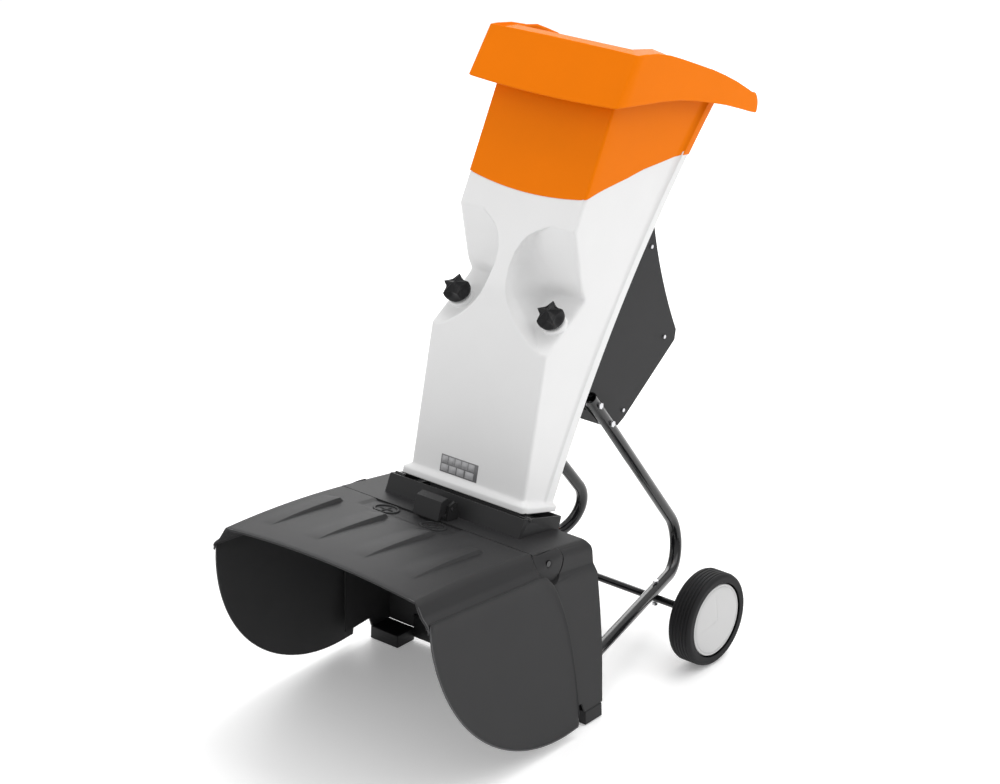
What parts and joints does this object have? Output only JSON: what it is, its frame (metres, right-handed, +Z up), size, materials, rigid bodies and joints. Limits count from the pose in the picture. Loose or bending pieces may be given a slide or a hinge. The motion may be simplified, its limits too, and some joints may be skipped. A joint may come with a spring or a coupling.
{
  "type": "electric wood chipper",
  "caption": "Electric garden chipper: orange feed hopper on a tilting light-grey chute, dark discharge box with a folding flap, tubular frame with wheels.",
  "frame": {"origin": "on the ground, under the middle of the machine's bounding box", "axes": "+Z up, -Y towards the discharge flap (front), +Y towards the wheels and the user, +X to the machine's left as seen from the user's side"},
  "size_m": [0.674, 1.1376, 1.3],
  "materials": {
    "charcoal_plastic": "fine grained",
    "black_plastic": "satin",
    "tyre": "matt",
    "cap_plastic": "satin",
    "white_plastic": "satin",
    "orange_plastic": "satin gloss",
    "fan_plastic": "satin",
    "black_tube": "gloss",
    "zinc_steel": "bright zinc",
    "bearing_steel": "ground",
    "motor_iron": "laminated",
    "cast_aluminium": "as cast",
    "capacitor_can": "drawn",
    "label_plate": "printed plate",
    "start_green": "gloss",
    "stop_red": "gloss"
  },
  "bodies": {
    "base": {"discharge_box": "charcoal_plastic", "foot_left": "black_plastic", "foot_right": "black_plastic", "hinge_pins": "black_tube", "latch_bracket": "charcoal_plastic", "latch_pin": "zinc_steel", "latch_spring": "zinc_steel", "frame_tube_left": "black_tube", "frame_tube_right": "black_tube", "frame_bolts": "zinc_steel", "axle": "black_tube", "axle_bolts": "zinc_steel", "axle_clips": "zinc_steel", "base_plate": "charcoal_plastic", "knob_posts": "charcoal_plastic", "chute_pins": "black_tube", "motor_housing": "charcoal_plastic", "housing_screws": "zinc_steel", "motor_bracket_front": "cast_aluminium", "motor_bracket_rear": "cast_aluminium", "motor_stator": "motor_iron", "bearing_front": "bearing_steel", "bearing_rear": "bearing_steel", "capacitor": "capacitor_can", "counter_knife": "bearing_steel", "counter_knife_screws": "zinc_steel", "switch_box": "black_plastic", "power_inlet": "black_plastic", "inlet_pins": "zinc_steel"},
    "rotor": {"motor_shaft": "bearing_steel", "rotor_core": "motor_iron", "cooling_fan": "fan_plastic", "blade_disc": "bearing_steel", "blades": "bearing_steel", "blade_screws": "zinc_steel", "disc_nut": "zinc_steel"},
    "wheel_left": {"tyre_left": "tyre", "rim_left": "black_plastic", "hub_cap_left": "cap_plastic"},
    "wheel_right": {"tyre_right": "tyre", "rim_right": "black_plastic", "hub_cap_right": "cap_plastic"},
    "flap": {"flap_shell": "charcoal_plastic"},
    "latch_arm": {"latch": "charcoal_plastic"},
    "chute": {"chute_shell": "white_plastic", "hopper": "orange_plastic", "feed_duct": "charcoal_plastic", "knob_boss_left": "white_plastic", "knob_boss_right": "white_plastic", "rating_label": "label_plate"},
    "washer_left": {"knob_washer_left": "zinc_steel"},
    "washer_right": {"knob_washer_right": "zinc_steel"},
    "locking_knob_left": {"knob_left": "black_plastic"},
    "locking_knob_right": {"knob_right": "black_plastic"},
    "start_button": {"button_on": "start_green"},
    "stop_button": {"button_off": "stop_red"}
  },
  "joints": [
    {"name": "flap_hinge", "type": "hinge", "parent": "base", "child": "flap", "pos_m": [0, -0.1985, 0.382], "axis": [1, 0, 0], "range_deg": [0, 62]},
    {"name": "latch_hinge", "type": "hinge", "parent": "base", "child": "latch_arm", "pos_m": [-0.015, -0.207, 0.43], "axis": [-1, 0, 0], "range_deg": [0, 25], "stiffness_Nm_per_rad": 0.4},
    {"name": "chute_tilt", "type": "hinge", "parent": "base", "child": "chute", "pos_m": [0, -0.148, 0.43], "axis": [1, 0, 0], "range_deg": [0, 45]},
    {"name": "wheel_left_spin", "type": "hinge", "parent": "base", "child": "wheel_left", "pos_m": [-0.309, 0.266, 0.1], "axis": [1, 0, 0], "continuous": true},
    {"name": "wheel_right_spin", "type": "hinge", "parent": "base", "child": "wheel_right", "pos_m": [0.309, 0.266, 0.1], "axis": [1, 0, 0], "continuous": true},
    {"name": "rotor_spin", "type": "hinge", "parent": "base", "child": "rotor", "pos_m": [0, 0.10399, 0.6835], "axis": [0, 0.8406, -0.5416], "continuous": true},
    {"name": "knob_left_travel", "type": "slide", "parent": "chute", "child": "washer_left", "axis": [0, -0.5358, 0.8443], "range_m": [0, 0.00505]},
    {"name": "knob_left_turn", "type": "hinge", "parent": "washer_left", "child": "locking_knob_left", "pos_m": [-0.12, -0.023, 0.806], "axis": [0, -0.5358, 0.8443], "range_deg": [0, 1440]},
    {"name": "knob_right_travel", "type": "slide", "parent": "chute", "child": "washer_right", "axis": [0, -0.5358, 0.8443], "range_m": [0, 0.00505]},
    {"name": "knob_right_turn", "type": "hinge", "parent": "washer_right", "child": "locking_knob_right", "pos_m": [0.12, -0.023, 0.806], "axis": [0, -0.5358, 0.8443], "range_deg": [0, 1440]},
    {"name": "start_press", "type": "slide", "parent": "base", "child": "start_button", "axis": [0, -0.9511, -0.309], "range_m": [0, 0.0035], "stiffness_N_per_m": 800},
    {"name": "stop_press", "type": "slide", "parent": "base", "child": "stop_button", "axis": [0, -0.9511, -0.309], "range_m": [0, 0.0035], "stiffness_N_per_m": 800}
  ],
  "couplings": [
    {"joint": "knob_left_travel", "follows": "knob_left_turn", "m_per_rad": 0.00019894},
    {"joint": "knob_right_travel", "follows": "knob_right_turn", "m_per_rad": 0.00019894}
  ]
}
